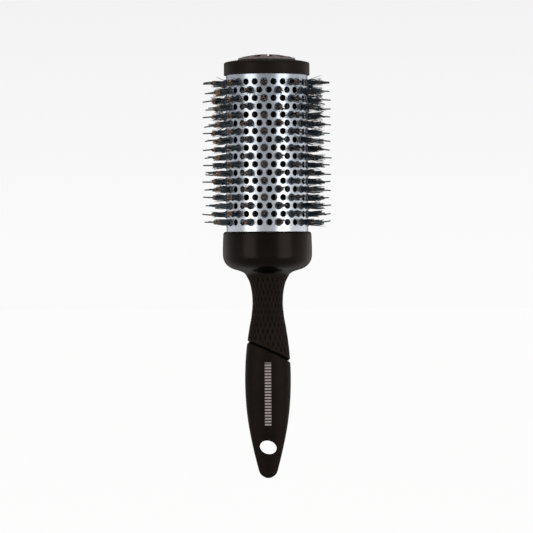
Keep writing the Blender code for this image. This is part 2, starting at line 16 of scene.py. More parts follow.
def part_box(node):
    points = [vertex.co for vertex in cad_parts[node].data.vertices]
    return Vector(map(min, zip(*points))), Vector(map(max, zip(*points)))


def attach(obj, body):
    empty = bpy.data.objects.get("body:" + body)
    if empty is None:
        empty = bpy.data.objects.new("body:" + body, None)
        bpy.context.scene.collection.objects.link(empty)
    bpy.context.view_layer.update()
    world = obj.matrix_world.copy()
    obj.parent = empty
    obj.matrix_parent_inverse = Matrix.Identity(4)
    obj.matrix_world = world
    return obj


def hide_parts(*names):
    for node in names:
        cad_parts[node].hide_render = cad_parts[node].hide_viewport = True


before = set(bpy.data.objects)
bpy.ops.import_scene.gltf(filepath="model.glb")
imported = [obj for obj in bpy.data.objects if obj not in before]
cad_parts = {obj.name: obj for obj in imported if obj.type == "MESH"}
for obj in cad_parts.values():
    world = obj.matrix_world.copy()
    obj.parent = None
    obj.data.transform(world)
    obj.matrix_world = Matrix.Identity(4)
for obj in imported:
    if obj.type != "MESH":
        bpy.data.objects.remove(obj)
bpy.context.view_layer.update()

MM = 0.001
SEED = 7
SHARP_ANGLE = 40  # degrees; steeper edges stay sharp in the shading

# Barrel and its pattern of holes
BARREL_LOW, BARREL_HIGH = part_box("barrel")
BARREL_RADIUS = 24.1 * MM
BARREL_INNER = 23.3 * MM
HOLE_ROWS = 18
HOLES_IN_ROW = 27
HOLE_PITCH = math.tau / HOLES_IN_ROW
ROW_PITCH = 4.84 * MM
TOP_ROW_HEIGHT = 233.2 * MM
FIRST_TUFT_ANGLE = math.radians(-3.8)
VENT_RADIUS = 1.85 * MM
VENT_CHAMFER = 0.12 * MM
TUFT_HOLE_RADIUS = 2.28 * MM
TUFT_HOLE_CHAMFER = 0.06 * MM
CELL_STEPS = 6  # along each side of the four-cornered cell round a hole
BARREL_ROUNDING = 0.15 * MM  # of its end edges

# Bristle strips
STRIPS = 18
STRIP_STEP = math.tau / STRIPS
STRIP_WIDTH = 3.4 * MM
STRIP_INNER = 20.7 * MM
STRIP_OUTER = 22.5 * MM
BAR_ROUNDING = 0.35 * MM
BOSS_STEPS = 28
BUNDLE_RADIUS = 1.65 * MM
CORE_RADIUS = 0.85 * MM  # of the boar bristles inside the nylon ones
ROOT_RADIUS = 24.2 * MM  # from the brush's axis to where the hairs leave their boss
BUNDLE_REACH = 33.7 * MM
SIDE_REACH = 1.6 * MM  # how much further the tufts at +X reach
PIN_REACH = 38.9 * MM
NYLON_HAIRS = 31
BOAR_HAIRS = (14, 34)  # fewest and most in a tuft
BOAR_SHARES = (0.15, 1.5)  # of that number, at +X and at -X
HAIR_RINGS = 5
HAIR_TAPER = 1.5  # above 1, a hair keeps its width for longer
STRANDS = 6
GATHERING = 0.4  # how far the tips close up into strands
LEAN_HEIGHT = 172.0 * MM  # the hairs lean towards this height
LEAN = 0.022  # for each unit of height away from it
TOUSLED_FROM = 178.0 * MM
TOUSLE = 1.8  # how much further the hairs stray in the top row
SIDE_TOUSLE = 0.15  # how much more of it there is at +X, and less at -X
TUFT_STRAY = 0.25 * MM  # of a whole tuft
SHARED_LEAN = 0.7  # how much of a tuft's lean its nylon and boar hairs take; the pins take all
SECOND_PIN = 0.15  # chance that a tuft has one
OUTER_SHORTNESS = 0.3  # what makes a hair shorter: its place in the tuft, its strand and chance
STRAND_SHORTNESS = 0.35
RANDOM_SHORTNESS = 0.35
CURL = 0.25 * MM  # sideways, halfway along a hair

# Radius, widening, stray, shortest and longest reach, and the further reach at +X of each kind of hair
NYLON_RULES = (BUNDLE_RADIUS, 1.15, 0.50 * MM, 28.6 * MM, 34.1 * MM, SIDE_REACH)
BOAR_RULES = (CORE_RADIUS, 1.6, 0.36 * MM, 30.6 * MM, BUNDLE_REACH, SIDE_REACH)
PIN_RULES = (0.4 * MM, 1.0, 0.25 * MM, 37.2 * MM, PIN_REACH, 0.0)

# Radius at the root and at the tip, and the number of sides
NYLON_SHAPE = (0.19 * MM, 0.13 * MM, 3)
BOAR_SHAPE = (0.19 * MM, 0.14 * MM, 3)
PIN_SHAPE = (0.5 * MM, 0.36 * MM, 8)

# Handle: half its width and half its depth, as (height, value) points in millimetres
HALF_WIDTH_POINTS = (
    (0, 4.35), (14, 8.0), (34, 11.9), (58, 13.52), (76, 12.65), (88, 11.0),
    (96, 9.6), (104, 8.98), (111, 9.55), (116, 10.75), (120, 12.75),
)
HALF_DEPTH_POINTS = (
    (0, 2.6), (14, 4.4), (34, 7.2), (58, 9.8), (76, 10.3), (88, 9.9),
    (96, 9.3), (104, 8.98), (111, 9.55), (116, 10.75), (120, 12.75),
)
HANDLE_TOP = 120.18 * MM
TIP_ROUNDING = 4.0 * MM
TAIL_TOP = 30.0 * MM  # the grip's rows of points are level up to here, and slant with its edge above
GRIP_WALL = 1.5 * MM
POCKET_BOTTOM = 28.0 * MM
GRIP_EDGE_ROUNDING = 0.8 * MM
GRIP_COLUMNS = 192
SLEEVE_EDGE_ROUNDING = 0.45 * MM
SLEEVE_COLUMNS = 384
SLEEVE_ROWS = 150
INNER_ROWS = 24  # of points down the unseen inside of the sleeve

# Slanted groove between the two grips: the plane z = height + slope_x * x + slope_y * y
GROOVE_HEIGHT = 75.2 * MM
GROOVE_SLOPE_X = -0.444
GROOVE_SLOPE_Y = -0.09
GROOVE_WIDTH = 1.3 * MM
GROOVE_TILT = math.hypot(1, GROOVE_SLOPE_X, GROOVE_SLOPE_Y)  # height along Z for each unit across
GROOVE_ROUNDS = 12  # enough for the groove's height and the handle's width there to agree

# Net of ribs on the sleeve: diamonds that stand on their points
NET_COLUMNS = 24
NET_HEIGHT = 7.56 * MM
NET_DEPTH = 0.38 * MM
NET_BAND = 1.3 * MM  # smooth border along the groove
NET_FADE = 0.5 * MM  # over which the net begins above it
NET_SLOPE = (0.14, 0.32)  # where a rib's side begins and ends, in diamonds from its middle
NET_TOP_FADE = (0.4 * MM, 1.2 * MM)  # below the sleeve's top

# Hang hole
HANG_HOLE_HEIGHT = 18.2 * MM
HANG_HOLE_HALF_LENGTH = 5.05 * MM
HANG_HOLE_HALF_WIDTH = 4.05 * MM
HANG_HOLE_TILT = math.radians(20)  # its long axis drops towards +X
HANG_HOLE_LIP = 1.1 * MM
LIP_SHARE = 0.8  # of the grip's depth that the lip may take at most

# Printed mark on the lower grip: a plain ladder of short bars
MARK_BOTTOM = 31.0 * MM
MARK_TOP = 68.5 * MM
MARK_HALF_WIDTH = 1.9 * MM
MARK_PITCH = 1.75 * MM
MARK_FILL = 0.6  # share of a step that its bar takes

# Vent disc
VENT_SLOTS = 12
SLOT_TURN = 0.25  # share of a step from the front to the first slot
SLOT_WIDTH = 2.6 * MM
SLOT_INNER = 7.2 * MM
SLOT_OUTER = 12.9 * MM
CHANNEL_OUTER = 16.2 * MM
CHANNEL_FLOOR = 248.35 * MM
COIN_SLOT_PLACE = 0.9 * MM
COIN_SLOT_WIDTH = 1.1 * MM
COIN_SLOT_FLOOR = 249.1 * MM
SLOT_PLAY = 0.1 * MM  # how much narrower the slots are than the channels above them
CUT_BOTTOM = 240.0 * MM
CUT_TOP = 255.0 * MM
MOUTH_SIDES = (0.19, 0.23)  # where the shade beside a slot's mouth fades, in steps from its middle
MOUTH_LOW = (248.25 * MM, 248.35 * MM)  # heights between which it fades in
MOUTH_HIGH = (248.85 * MM, 249.0 * MM)  # and out again
SLOT_DEPTH = (248.3 * MM, 248.7 * MM)  # painted shade in the slots: full below the first height, none above the second
FINS_OUTER = (14.2 * MM, 14.4 * MM)  # radii between which the slots' painted shade ends

# Studio
# Each factor of the room's light: a direction, its low and high end, and the factor at each
ROOM_LIGHT = (
    ("away", 0.80, 0.98, 1.0, 0.15),  # dark straight behind the brush
    ("up", -0.4, 0.0, 0.7, 1.0),  # dimmer below
    ("up", 0.0, 0.07, 1.08, 0.72),  # dimmer again just above the horizon
    ("up", 0.1, 0.5, 1.0, 0.5),  # and overhead
    ("across", 0.2, 0.8, 1.0, 1.5),  # brighter towards +X
    ("across", -0.8, -0.2, 1.15, 1.0),  # and a little towards -X
)
# Each lamp: azimuth in degrees, height, distance, width and height of its face, and power
SOFT_BOXES = {
    "left_soft_box": (-47, 0.25, 1.5, (0.88, 1.6), 6),
    "right_soft_box": (46, 0.25, 1.5, (0.92, 1.6), 6.2),
    "top_soft_box": (20, 2.0, 0.7, (1.2, 1.2), 7),
}
FLOOR_GLOW = 0.955
FLOOR_RADIUS = 14.0
CAMERA_DISTANCE = 2.2
CAMERA_OFFSET = -0.59 * MM
CAMERA_ROLL = math.radians(0.25)
SENSOR_WIDTH = 36.0
VIEW_WIDTH = 0.3148  # seen at the brush's axis
VIEW_HEIGHT = 125.0 * MM  # the level camera's height
FLOOR_HEIGHT = -60.0 * MM
LAMP_COLOUR = (1.0, 0.94, 0.88)


# Meshes

def new_object(name, mesh, material, sharp_angle=SHARP_ANGLE):
    mesh.shade_smooth()
    mesh.set_sharp_from_angle(angle=math.radians(sharp_angle))
    mesh.materials.clear()
    mesh.materials.append(material)
    piece = bpy.data.objects.new(name, mesh)
    bpy.context.scene.collection.objects.link(piece)
    return piece


def mesh_from(name, points, faces):
    mesh = bpy.data.meshes.new(name)
    mesh.from_pydata(np.asarray(points).reshape(-1, 3).tolist(), [], faces)
    return mesh


def stand_for(piece, slot, *nodes):
    """The piece rides on the brush's one body and hides those CAD nodes. The slot is not used."""
    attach(piece, "root")
    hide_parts(*nodes)


def wrapped_faces(rows, columns, closed=False):
    """Quads between rows of points round an axis. They face outwards where the rows go up."""
    row = np.arange(rows if closed else rows - 1)[:, None] * columns
    column = np.arange(columns)[None, :]
    following = (column + 1) % columns
    corners = (row + column, row + following, row + following + columns, row + column + columns)
    return (np.stack(corners, -1) % (rows * columns)).reshape(-1, 4).tolist()


def end_faces(rows, columns):
    """One face across the first row and one across the last."""
    last = (rows - 1) * columns
    return [list(range(columns))[::-1], list(range(last, last + columns))]


def joined(parts):
    """The points and faces of several (points, faces) parts as one pair."""
    points, faces, count = [], [], 0
    for part_points, part_faces in parts:
        part_points = np.asarray(part_points).reshape(-1, 3)
        points.append(part_points)
        faces += [[index + count for index in face] for face in part_faces]
        count += len(part_points)
    return np.concatenate(points), faces


def bezier(p0, p1, p2, p3, steps=10):
    """Points of a Bezier arc, with both ends."""
    t = np.linspace(0, 1, steps + 1)[:, None]
    s = 1 - t
    arc = s**3 * np.array(p0) + 3 * s * s * t * np.array(p1)
    arc = arc + 3 * s * t * t * np.array(p2) + t**3 * np.array(p3)
    return [tuple(point) for point in arc]


def turned(outline, steps=144, closed=True):
    """Points and faces of a (radius, height) outline in millimetres turned about the axis.

    It runs up its outer side. An open outline is closed by a flat face at either end.
    """
    radius, height = (np.array(outline) * MM).T
    angle = np.linspace(0, math.tau, steps, endpoint=False)
    x = radius[:, None] * np.cos(angle)
    y = radius[:, None] * np.sin(angle)
    z = np.broadcast_to(height[:, None], x.shape)
    faces = wrapped_faces(len(outline), steps, closed)
    if not closed:
        faces += end_faces(len(outline), steps)
    return np.stack((x, y, z), -1), faces


def smooth_step(value, low, high):
    t = np.clip((value - low) / (high - low), 0, 1)
    return t * t * (3 - 2 * t)


def place_round(angle, height, radius):
    """A point at an angle round the brush's axis."""
    angle, height, radius = np.broadcast_arrays(angle, height, radius)
    return np.stack((radius * np.sin(angle), -radius * np.cos(angle), height), -1)


def cut(piece, cutter_mesh):
    """Takes the cutter's shape out of the piece."""
    cutter = bpy.data.objects.new("cutter", cutter_mesh)
    bpy.context.scene.collection.objects.link(cutter)
    modifier = piece.modifiers.new("cut", "BOOLEAN")
    modifier.operation = "DIFFERENCE"
    modifier.solver = "EXACT"
    modifier.object = cutter
    depsgraph = bpy.context.evaluated_depsgraph_get()
    result = bpy.data.meshes.new_from_object(piece.evaluated_get(depsgraph))
    piece.modifiers.clear()
    piece.data = result
    bpy.data.objects.remove(cutter)
    result.set_sharp_from_angle(angle=math.radians(SHARP_ANGLE))


# Materials

WARM_GLOSS = (1.0, 0.86, 0.80, 1.0)
COOL_GLOSS = (0.75, 0.92, 1.0, 1.0)


def new_material(name, **settings):
    """A material, with constant values for its Principled shader's sockets."""
    material = bpy.data.materials.new(name)
    material.use_nodes = True
    shader = material.node_tree.nodes["Principled BSDF"]
    for socket, value in settings.items():
        shader.inputs[socket.replace("_", " ")].default_value = value
    return material


def add_node(material, kind, inputs=None, **settings):
    """A node. Each input is a value, or another node's output that is linked to it."""
    node = material.node_tree.nodes.new(kind)
    for key, value in settings.items():
        setattr(node, key, value)
    for key, value in (inputs or {}).items():
        if isinstance(value, bpy.types.NodeSocket):
            material.node_tree.links.new(value, node.inputs[key])
        else:
            node.inputs[key].default_value = value
    return node


def drive(material, socket, output):
    shader = material.node_tree.nodes["Principled BSDF"]
    material.node_tree.links.new(output, shader.inputs[socket])


def object_point(material):
    return add_node(material, "ShaderNodeTexCoord").outputs["Object"]


def noise(material, scale, detail=2.0, vector=None):
    """Noise from 0 to 1, with its scale in features a metre."""
    point = object_point(material) if vector is None else vector
    inputs = {"Vector": point, "Scale": scale, "Detail": detail}
    return add_node(material, "ShaderNodeTexNoise", inputs).outputs["Fac"]


def radius_output(material):
    """The distance from the brush's axis."""
    inputs = {0: object_point(material), 1: (1.0, 1.0, 0.0)}
    flat = add_node(material, "ShaderNodeVectorMath", inputs, operation="MULTIPLY").outputs[0]
    return add_node(material, "ShaderNodeVectorMath", {0: flat}, operation="LENGTH").outputs["Value"]


def maths(material, operation, *values):
    inputs = dict(enumerate(values))
    return add_node(material, "ShaderNodeMath", inputs, operation=operation).outputs[0]


def spread(material, value, low, high, to_low=0.0, to_high=1.0):
    """The value from low to high, spread over to_low to to_high and held at the ends."""
    names = ("Value", "From Min", "From Max", "To Min", "To Max")
    inputs = dict(zip(names, (value, low, high, to_low, to_high)))
    return add_node(material, "ShaderNodeMapRange", inputs).outputs["Result"]


def blend_colours(material, factor, first, second):
    """A mix of two colours, each a value or another node's output."""
    node = add_node(material, "ShaderNodeMix", data_type="RGBA")
    sockets = (node.inputs["Factor"], node.inputs[6], node.inputs[7])
    for socket, value in zip(sockets, (factor, first, second)):
        if isinstance(value, bpy.types.NodeSocket):
            material.node_tree.links.new(value, socket)
        else:
            socket.default_value = value if isinstance(value, float) else (*value, 1.0)
    return node.outputs[2]


def bump(material, height, distance, strength=1.0):
    inputs = {"Height": height, "Distance": distance, "Strength": strength}
    output = add_node(material, "ShaderNodeBump", inputs).outputs["Normal"]
    drive(material, "Normal", output)


def soft_touch(name, dark, light, roughness=0.55, gloss=0.10, grain=0.02 * MM):
    """Matt black rubbery plastic: a cloudy colour, a fine grain and faint rubbed patches."""
    material = new_material(name, Specular_IOR_Level=gloss, Specular_Tint=WARM_GLOSS)
    cloud = noise(material, 60.0, 4.0)
    colour = blend_colours(material, spread(material, cloud, 0.35, 0.65), dark, light)
    drive(material, "Base Color", colour)
    rubbed = noise(material, 220.0, 3.0)
    wear = spread(material, rubbed, 0.3, 0.7, roughness - 0.05, roughness + 0.05)
    drive(material, "Roughness", wear)
    bump(material, noise(material, 3500.0, 2.0), grain, 0.5)
    return material, colour


def collar_material():
    dark, light = (0.0040, 0.0027, 0.0022), (0.0056, 0.0040, 0.0033)
    return soft_touch("collar_plastic", dark, light, 0.25, 0.17)[0]


def cap_material():
    dark, light = (0.0096, 0.0067, 0.0054), (0.0134, 0.0099, 0.0083)
    return soft_touch("cap_plastic", dark, light, 0.42, 0.13)[0]


def slot_mouth_shade(material, height):
    """1 on the fins' outer flank beside each slot's open end, where shade is painted."""
    x, y, _ = add_node(material, "ShaderNodeSeparateXYZ", {0: object_point(material)}).outputs
    angle = maths(material, "ARCTAN2", x, maths(material, "MULTIPLY", y, -1.0))
    step = maths(material, "MULTIPLY_ADD", angle, VENT_SLOTS / math.tau, 0.5 - SLOT_TURN)
    from_slot = maths(material, "SUBTRACT", maths(material, "FRACT", step), 0.5)
    beside = spread(material, maths(material, "ABSOLUTE", from_slot), *MOUTH_SIDES, 1.0, 0.0)
    above = spread(material, height, *MOUTH_LOW)
    below = spread(material, height, *MOUTH_HIGH, 1.0, 0.0)
    return maths(material, "MULTIPLY", beside, maths(material, "MULTIPLY", above, below))


def disc_material():
    """Brown-grey plastic, with painted shade down in the slots between the fins and beside their open
    ends.
    """
    dark, light = (0.235, 0.206, 0.206), (0.315, 0.279, 0.279)
    material, colour = soft_touch("vent_disc_plastic", dark, light, 0.42, 0.3)
    height = add_node(material, "ShaderNodeSeparateXYZ", {0: object_point(material)}).outputs["Z"]
    normal = add_node(material, "ShaderNodeNewGeometry").outputs["True Normal"]
    facing_up = add_node(material, "ShaderNodeSeparateXYZ", {0: normal}).outputs["Z"]
    upright = spread(material, maths(material, "ABSOLUTE", facing_up), 0.1, 0.3, 1.0, 0.0)
    low = spread(material, height, *SLOT_DEPTH, 1.0, 0.0)
    inside = spread(material, radius_output(material), *FINS_OUTER, 1.0, 0.0)
    # painted shade down in the slots and on the flanks beside their mouths
    shade = maths(material, "MULTIPLY", maths(material, "MAXIMUM", low, upright), inside)
    shade = maths(material, "MAXIMUM", shade, slot_mouth_shade(material, height))
    drive(material, "Base Color", blend_colours(material, shade, colour, (0.008, 0.006, 0.006)))
    return material


def sleeve_material():
    """Rubber with painted shade in the recesses of its net, from the relief's own depth."""
    dark, light = (0.0125, 0.0091, 0.0073), (0.0175, 0.0131, 0.0109)
    material, colour = soft_touch("grip_rubber", dark, light, 0.52)
    relief = add_node(material, "ShaderNodeAttribute", attribute_name="relief").outputs["Fac"]
    # painted shade, deepest in the net's recesses
    painted_recess_shade = spread(material, relief, 0.0, 0.8, 0.0, 1.0)
    drive(material, "Base Color", blend_colours(material, painted_recess_shade, colour, (0.0050, 0.0037, 0.0030)))
    return material


def mark_mask(material):
    """1 on the printed ladder of bars, on the front of the grip."""
    split = add_node(material, "ShaderNodeSeparateXYZ", {"Vector": object_point(material)})
    x, y, z = split.outputs
    step = maths(material, "DIVIDE", maths(material, "SUBTRACT", z, MARK_BOTTOM), MARK_PITCH)
    in_step = maths(material, "FRACT", step)
    from_middle = maths(material, "ABSOLUTE", maths(material, "SUBTRACT", in_step, 0.5))
    bar = maths(material, "LESS_THAN", from_middle, MARK_FILL / 2)
    side = maths(material, "LESS_THAN", maths(material, "ABSOLUTE", x), MARK_HALF_WIDTH)
    above = maths(material, "GREATER_THAN", z, MARK_BOTTOM)
    below = maths(material, "LESS_THAN", z, MARK_TOP)
    front = maths(material, "LESS_THAN", y, 0.0)
    mask = bar
    for part in (side, above, below, front):
        mask = maths(material, "MULTIPLY", mask, part)
    return mask


def grip_material():
    dark, light = (0.0080, 0.0055, 0.0042), (0.0114, 0.0083, 0.0066)
    material, colour = soft_touch("grip_soft_touch", dark, light, 0.48)
    ink = blend_colours(material, mark_mask(material), colour, (0.46, 0.425, 0.43))
    drive(material, "Base Color", ink)
    return material


def aluminium_material():
    """Bright drawn aluminium with faint marks along the tube, with painted shade that darkens it
    towards the cap and inside the holes.
    """
    material = new_material("barrel_aluminium", Metallic=1.0)
    inputs = {"Vector": object_point(material), "Scale": (1.0, 1.0, 0.05)}
    stretched = add_node(material, "ShaderNodeMapping", inputs).outputs["Vector"]
    lines = noise(material, 2500.0, 3.0, stretched)
    drive(material, "Roughness", spread(material, lines, 0.3, 0.7, 0.22, 0.30))
    cloud = noise(material, 120.0, 3.0)
    factor = spread(material, cloud, 0.3, 0.7)
    bright = blend_colours(material, factor, (0.76, 0.87, 0.99), (0.83, 0.92, 1.0))
    height = add_node(material, "ShaderNodeSeparateXYZ", {0: object_point(material)}).outputs["Z"]
    # painted shade: the tube's colour darkens towards the cap
    painted_cap_shade = spread(material, height, 150.0 * MM, 238.0 * MM)
    bright = blend_colours(material, painted_cap_shade, bright, (0.56, 0.64, 0.75))
    # painted shade: the holes' walls are painted near black
    painted_hole_shade = spread(material, radius_output(material), 23.9 * MM, 24.0 * MM, 1.0, 0.0)
    drive(material, "Base Color", blend_colours(material, painted_hole_shade, bright, (0.03, 0.032, 0.036)))
    bump(material, lines, 0.01 * MM, 0.25)
    return material


def strip_material():
    """Moulded nylon of the strips' bars and bosses."""
    material = new_material("strip_nylon", Specular_IOR_Level=0.7)
    cloud = spread(material, noise(material, 300.0, 3.0), 0.35, 0.65)
    colour = blend_colours(material, cloud, (0.040, 0.052, 0.070), (0.070, 0.088, 0.112))
    drive(material, "Base Color", colour)
    drive(material, "Roughness", spread(material, noise(material, 900.0), 0.3, 0.7, 0.32, 0.45))
    return material


def nylon_material():
    """Blue-black filaments, each a little different in tone; the lighter tones are painted glints."""
    material = new_material("bristle_nylon", Specular_IOR_Level=0.9, Specular_Tint=COOL_GLOSS)
    each = add_node(material, "ShaderNodeNewGeometry").outputs["Random Per Island"]
    # tone differs from filament to filament, and its lighter end is a painted glint
    colour = blend_colours(material, each, (0.0020, 0.0050, 0.0085), (0.068, 0.110, 0.150))
    drive(material, "Base Color", colour)
    drive(material, "Roughness", spread(material, each, 0.0, 1.0, 0.22, 0.36))
    return material


def boar_material():
    """Boar bristle, dark at its root and tan towards its tip."""
    material = new_material("bristle_boar", Specular_IOR_Level=0.25)
    each = add_node(material, "ShaderNodeNewGeometry").outputs["Random Per Island"]
    tip = blend_colours(material, each, (0.10, 0.047, 0.025), (0.74, 0.46, 0.27))
    along = spread(material, radius_output(material), 30.2 * MM, 31.4 * MM)
    drive(material, "Base Color", blend_colours(material, along, (0.004, 0.006, 0.008), tip))
    drive(material, "Roughness", spread(material, each, 0.0, 1.0, 0.4, 0.6))
    return material


def dark_plastic(name, low, high, roughness, gloss=0.2):
    material = new_material(name, Specular_IOR_Level=gloss)
    cloud = spread(material, noise(material, 150.0, 3.0), 0.35, 0.65)
    drive(material, "Base Color", blend_colours(material, cloud, (low,) * 3, (high,) * 3))
    worn = noise(material, 500.0)
    wear = spread(material, worn, 0.3, 0.7, roughness - 0.05, roughness + 0.05)
    drive(material, "Roughness", wear)
    return material


def steel_material():
    material = new_material("screw_steel", Metallic=1.0)
    cloud = spread(material, noise(material, 400.0, 3.0), 0.35, 0.65)
    colour = blend_colours(material, cloud, (0.45, 0.44, 0.42), (0.60, 0.59, 0.57))
    drive(material, "Base Color", colour)
    drive(material, "Roughness", spread(material, noise(material, 900.0), 0.3, 0.7, 0.25, 0.38))
    return material


# Barrel

def cell_outline():
    """The edge of a cell from -1 to 1 both ways, anticlockwise from its lower left corner."""
    side = np.linspace(-1, 1, CELL_STEPS + 1)[:-1]
    one = np.ones_like(side)
    sides = ((side, -one), (one, side), (-side, one), (-one, -side))
    return np.concatenate([np.stack(pair, -1) for pair in sides])


def row_start(row):
    """The angle of a row's first tuft hole. Neighbouring rows are half a pitch apart."""
    return FIRST_TUFT_ANGLE + (row % 2) * STRIP_STEP


def barrel_cell(row, column, outline):
    """The wall round one hole: six rings of points from the cell's outer to its inner edge."""
    half = np.array((HOLE_PITCH / 2 * BARREL_RADIUS, ROW_PITCH / 2))
    edge = outline * half
    towards = edge / np.linalg.norm(edge, axis=1)[:, None]
    is_tuft = column % 3 == 0
    radius = TUFT_HOLE_RADIUS if is_tuft else VENT_RADIUS
    chamfer = TUFT_HOLE_CHAMFER if is_tuft else VENT_CHAMFER
    rings = (
        (edge, BARREL_RADIUS),
        (towards * (radius + 1.6 * chamfer), BARREL_RADIUS),
        (towards * (radius + chamfer), BARREL_RADIUS),
        (towards * radius, BARREL_RADIUS - chamfer),
        (towards * radius, BARREL_INNER),
        (edge, BARREL_INNER),
    )
    angle = row_start(row) + column * HOLE_PITCH
    height = TOP_ROW_HEIGHT - row * ROW_PITCH
    points = [
        place_round(angle + ring[:, 0] / BARREL_RADIUS, height + ring[:, 1], distance)
        for ring, distance in rings
    ]
    return np.stack(points), wrapped_faces(len(rings), len(outline))


def barrel_band(heights_and_radii, first_angle):
    """A plain stretch of wall, as rings that meet the cells' corners and samples."""
    count = HOLES_IN_ROW * CELL_STEPS
    angle = first_angle + (np.arange(count) + CELL_STEPS / 2) * math.tau / count
    rings = [place_round(angle, height, radius) for height, radius in heights_and_radii]
    return np.stack(rings), wrapped_faces(len(rings), count)


def build_barrel(material):
    outline = cell_outline()
    rows = range(HOLE_ROWS)
    parts = [barrel_cell(row, column, outline) for row in rows for column in range(HOLES_IN_ROW)]
    top_edge = TOP_ROW_HEIGHT + ROW_PITCH / 2
    bottom_edge = TOP_ROW_HEIGHT - (HOLE_ROWS - 0.5) * ROW_PITCH
    top, bottom = BARREL_HIGH.z, BARREL_LOW.z
    rounding = BARREL_ROUNDING
    parts.append(barrel_band((
        (top_edge, BARREL_RADIUS), (top - rounding, BARREL_RADIUS), (top, BARREL_RADIUS - rounding),
        (top, BARREL_INNER), (top_edge, BARREL_INNER),
    ), row_start(0)))
    parts.append(barrel_band((
        (bottom_edge, BARREL_INNER), (bottom, BARREL_INNER), (bottom, BARREL_RADIUS - rounding),
        (bottom + rounding, BARREL_RADIUS), (bottom_edge, BARREL_RADIUS),
    ), row_start(HOLE_ROWS - 1)))
    mesh = mesh_from("perforated_barrel", *joined(parts))
    bm = bmesh.new()
    bm.from_mesh(mesh)
    bmesh.ops.remove_doubles(bm, verts=bm.verts, dist=0.001 * MM)
    bm.to_mesh(mesh)
    bm.free()
    barrel = new_object("perforated_barrel", mesh, material, 30)
    stand_for(barrel, "barrel_aluminium", "barrel")


# Bristle strips

def bent_round(tangential, axial, distance, angle, height):
    """Points beside a strip's middle line, bent round the brush's axis with the barrel."""
    return place_round(angle + tangential / BARREL_RADIUS, height + axial, distance)


def boss(angle, height):
    """The domed boss that fills a tuft hole, with a well for the hairs."""
    rim = bezier((2.2, 0.1), (2.2, 0.65), (1.95, 0.95), (1.6, 0.95), 6)
    outline = [(2.2, -1.7)] + rim + [(1.42, 0.8), (1.35, 0.1)]
    radius, rise = (np.array(outline) * MM).T
    turn = np.linspace(0, math.tau, BOSS_STEPS, endpoint=False)
    tangential = radius[:, None] * np.cos(turn)
    axial = radius[:, None] * np.sin(turn)
    distance = BARREL_RADIUS + rise[:, None] + 0 * turn
    faces = wrapped_faces(len(outline), len(turn)) + end_faces(len(outline), len(turn))
    return bent_round(tangential, axial, distance, angle, height), faces


def strip_bar(angle, low, high):
    """The bar of a strip, rounded along its edges."""
    bm = bmesh.new()
    depth = STRIP_OUTER - STRIP_INNER
    size = Matrix.Diagonal((STRIP_WIDTH, depth, high - low, 1))
    place = Matrix.Translation((0, -(STRIP_OUTER + STRIP_INNER) / 2, (low + high) / 2))
    bmesh.ops.create_cube(bm, size=1, matrix=Matrix.Rotation(angle, 4, "Z") @ place @ size)
    rounding = {"offset": BAR_ROUNDING, "segments": 3, "profile": 0.5, "affect": "EDGES"}
    bmesh.ops.bevel(bm, geom=bm.edges, **rounding)
    bm.verts.index_update()
    points = np.array([vert.co[:] for vert in bm.verts])
    faces = [[vert.index for vert in face.verts] for face in bm.faces]
    bm.free()
    return points, faces


def hair_mesh(name, roots, bends, tips, root_radius, tip_radius, sides):
    """Tapered hairs with closed ends, each bent through a point beside its middle."""
    t = np.linspace(0, 1, HAIR_RINGS)[None, :, None]
    line = roots[:, None] * (1 - t) + tips[:, None] * t + bends[:, None] * 4 * t * (1 - t)
    along = (tips - roots) / np.linalg.norm(tips - roots, axis=1)[:, None]
    across = np.cross(along, (0.0, 0.0, 1.0))
    across /= np.linalg.norm(across, axis=1)[:, None]
    upward = np.cross(along, across)
    turn = np.linspace(0, math.tau, sides, endpoint=False)[None, None, :, None]
    radius = (root_radius + (tip_radius - root_radius) * t**HAIR_TAPER)[:, :, None]
    ring = np.cos(turn) * across[:, None, None] + np.sin(turn) * upward[:, None, None]
    points = line[:, :, None] + radius * ring
    one = wrapped_faces(HAIR_RINGS, sides) + end_faces(HAIR_RINGS, sides)
    size = HAIR_RINGS * sides
    faces = [[index + size * k for index in face] for k in range(len(roots)) for face in one]
    return mesh_from(name, points, faces)


def in_disc(random, count, radius):
    """Random places in a disc."""
    distance = radius * np.sqrt(random.random(count))
    angle = math.tau * random.random(count)
    return np.stack((distance * np.cos(angle), distance * np.sin(angle)), -1)


def fan(random, count, rules, angle, height, lean, tousle):
    """Roots, bends and tips of the hairs of one tuft, which gather in a few strands.

    The rules are NYLON_RULES, BOAR_RULES or PIN_RULES.
    """
    radius, widening, stray, shortest, longest, side_reach = rules
    stray = stray * tousle
    start = in_disc(random, count, radius)
    strands = in_disc(random, STRANDS, radius * widening) + random.normal(0, stray, (STRANDS, 2))
    own = np.argmin(np.linalg.norm(start[:, None] - strands[None], axis=2), axis=1)
    end = start * widening * (1 - GATHERING) + strands[own] * GATHERING
    end = end + lean + 0.5 * stray * random.standard_t(3, (count, 2)).clip(-5, 5)
    outward = np.linalg.norm(start, axis=1) / radius
    shortness = OUTER_SHORTNESS * outward**2 + STRAND_SHORTNESS * random.random(STRANDS)[own]
    shortness = shortness + RANDOM_SHORTNESS * random.random(count)
    reach = longest - (longest - shortest) * shortness
    reach = reach + side_reach * max(math.sin(angle), 0)
    curl = random.normal(0, CURL, (count, 2))
    facing = place_round(angle, 0.0, 1.0)
    beside = place_round(angle + math.pi / 2, 0.0, 1.0)
    up = np.array((0.0, 0.0, 1.0))

    def place(offset, distance):
        sideways = offset[:, :1] * beside + offset[:, 1:] * up
        return np.asarray(distance).reshape(-1, 1) * facing + sideways

    middle = up * height
    roots = place(start, np.full(count, ROOT_RADIUS)) + middle
    tips = place(end, reach) + middle
    return roots, place(curl, np.zeros(count)), tips


